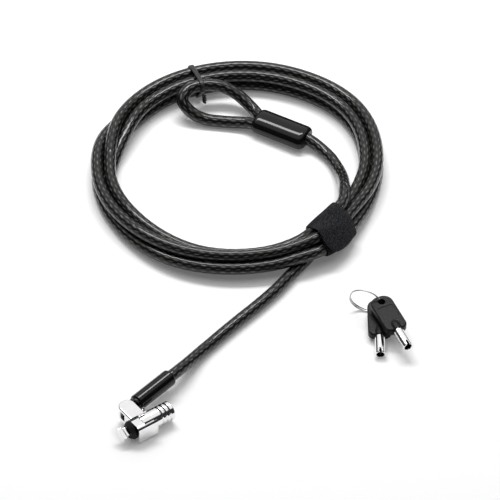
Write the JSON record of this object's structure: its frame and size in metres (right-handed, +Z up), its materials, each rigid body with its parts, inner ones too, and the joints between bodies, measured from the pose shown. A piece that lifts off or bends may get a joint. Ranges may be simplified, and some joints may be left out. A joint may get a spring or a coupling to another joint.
{
  "type": "laptop cable lock",
  "caption": "Laptop cable lock: T-bar barrel lock in a swivelling yoke, coated steel cable coiled and tied with a strap, looped end with a ferrule, and two tubular keys on a wire ring.",
  "frame": {"origin": "middle of the flat underside of the yoke block, on the table the lock lies on", "axes": "+X along the lock barrel towards the keyhole, away from the T-bar; +Y towards the lug that carries the cable; +Z up"},
  "size_m": [0.2057, 0.2028, 0.0191],
  "materials": {
    "chrome": "polished bright plate",
    "steel": "plain",
    "brass": "machined",
    "gloss_black": "moulded, glossy",
    "nose_rubber": "satin",
    "key_plastic": "fine grained",
    "cable_jacket": "clear vinyl over dark steel strands",
    "strap": "woven hook-and-loop, loop side",
    "strap_hook": "woven hook-and-loop, hook side",
    "tie": "satin"
  },
  "bodies": {
    "cable": {"cable_tail": "cable_jacket", "cable_coil": "cable_jacket", "cable_lead": "cable_jacket", "cable_end_loop": "cable_jacket", "cable_eye": "chrome", "sleeve_collar": "chrome", "strain_sleeve": "gloss_black", "ferrule_cover": "gloss_black", "ferrule_crimp": "steel", "strap_band": "strap", "strap_hook_end": "strap_hook", "twist_tie": "tie"},
    "yoke": {"yoke_body": "chrome", "pivot_pin": "steel"},
    "barrel": {"lock_barrel": "chrome", "nose_pad": "nose_rubber", "slot_guide": "chrome", "yoke_retaining_clip": "steel", "pin_block": "brass", "pin_spring_1": "steel", "pin_spring_2": "steel", "pin_spring_3": "steel", "pin_spring_4": "steel"},
    "plug": {"plug_core": "brass", "t_bar": "chrome", "keyway_post": "steel"},
    "driver_pins": {"driver_pin_1": "steel", "driver_pin_2": "steel", "driver_pin_3": "steel", "driver_pin_4": "steel"},
    "key_pins": {"key_pin_1": "brass", "key_pin_2": "brass", "key_pin_3": "brass", "key_pin_4": "brass"},
    "ring": {"key_ring": "chrome"},
    "key_a": {"key_a_bow": "key_plastic", "key_a_tube": "chrome"},
    "key_b": {"key_b_bow": "key_plastic", "key_b_tube": "chrome"}
  },
  "joints": [
    {"name": "cable_pivot", "type": "hinge", "parent": "cable", "child": "yoke", "pos_m": [-0.0012, 0.009, 0.0073], "axis": [0, 0, 1], "range_deg": [-160, 4]},
    {"name": "barrel_swivel", "type": "hinge", "parent": "yoke", "child": "barrel", "pos_m": [0, 0, 0.005], "axis": [1, 0, 0], "continuous": true},
    {"name": "t_bar_turn", "type": "hinge", "parent": "barrel", "child": "plug", "pos_m": [0.006, 0, 0.005], "axis": [1, 0, 0], "range_deg": [0, 90]},
    {"name": "key_pin_press", "type": "slide", "parent": "plug", "child": "key_pins", "axis": [1, 0, 0], "range_m": [-0.0008, 0], "stiffness_N_per_m": 40},
    {"name": "driver_pin_press", "type": "slide", "parent": "barrel", "child": "driver_pins", "axis": [1, 0, 0], "range_m": [-0.0008, 0]},
    {"name": "keys_lift_off", "type": "slide", "parent": "cable", "child": "ring", "axis": [0, 0, 1], "range_m": [0, 0.08]},
    {"name": "key_a_swing", "type": "hinge", "parent": "ring", "child": "key_a", "pos_m": [0.1289, -0.00215, 0.00415], "axis": [0, 0, 1], "range_deg": [-20, 0]},
    {"name": "key_b_swing", "type": "hinge", "parent": "ring", "child": "key_b", "pos_m": [0.1283, -0.0049, 0.0088], "axis": [0, 0, 1], "range_deg": [0, 20]}
  ],
  "couplings": [
    {"joint": "driver_pin_press", "follows": "key_pin_press", "ratio": 1}
  ]
}
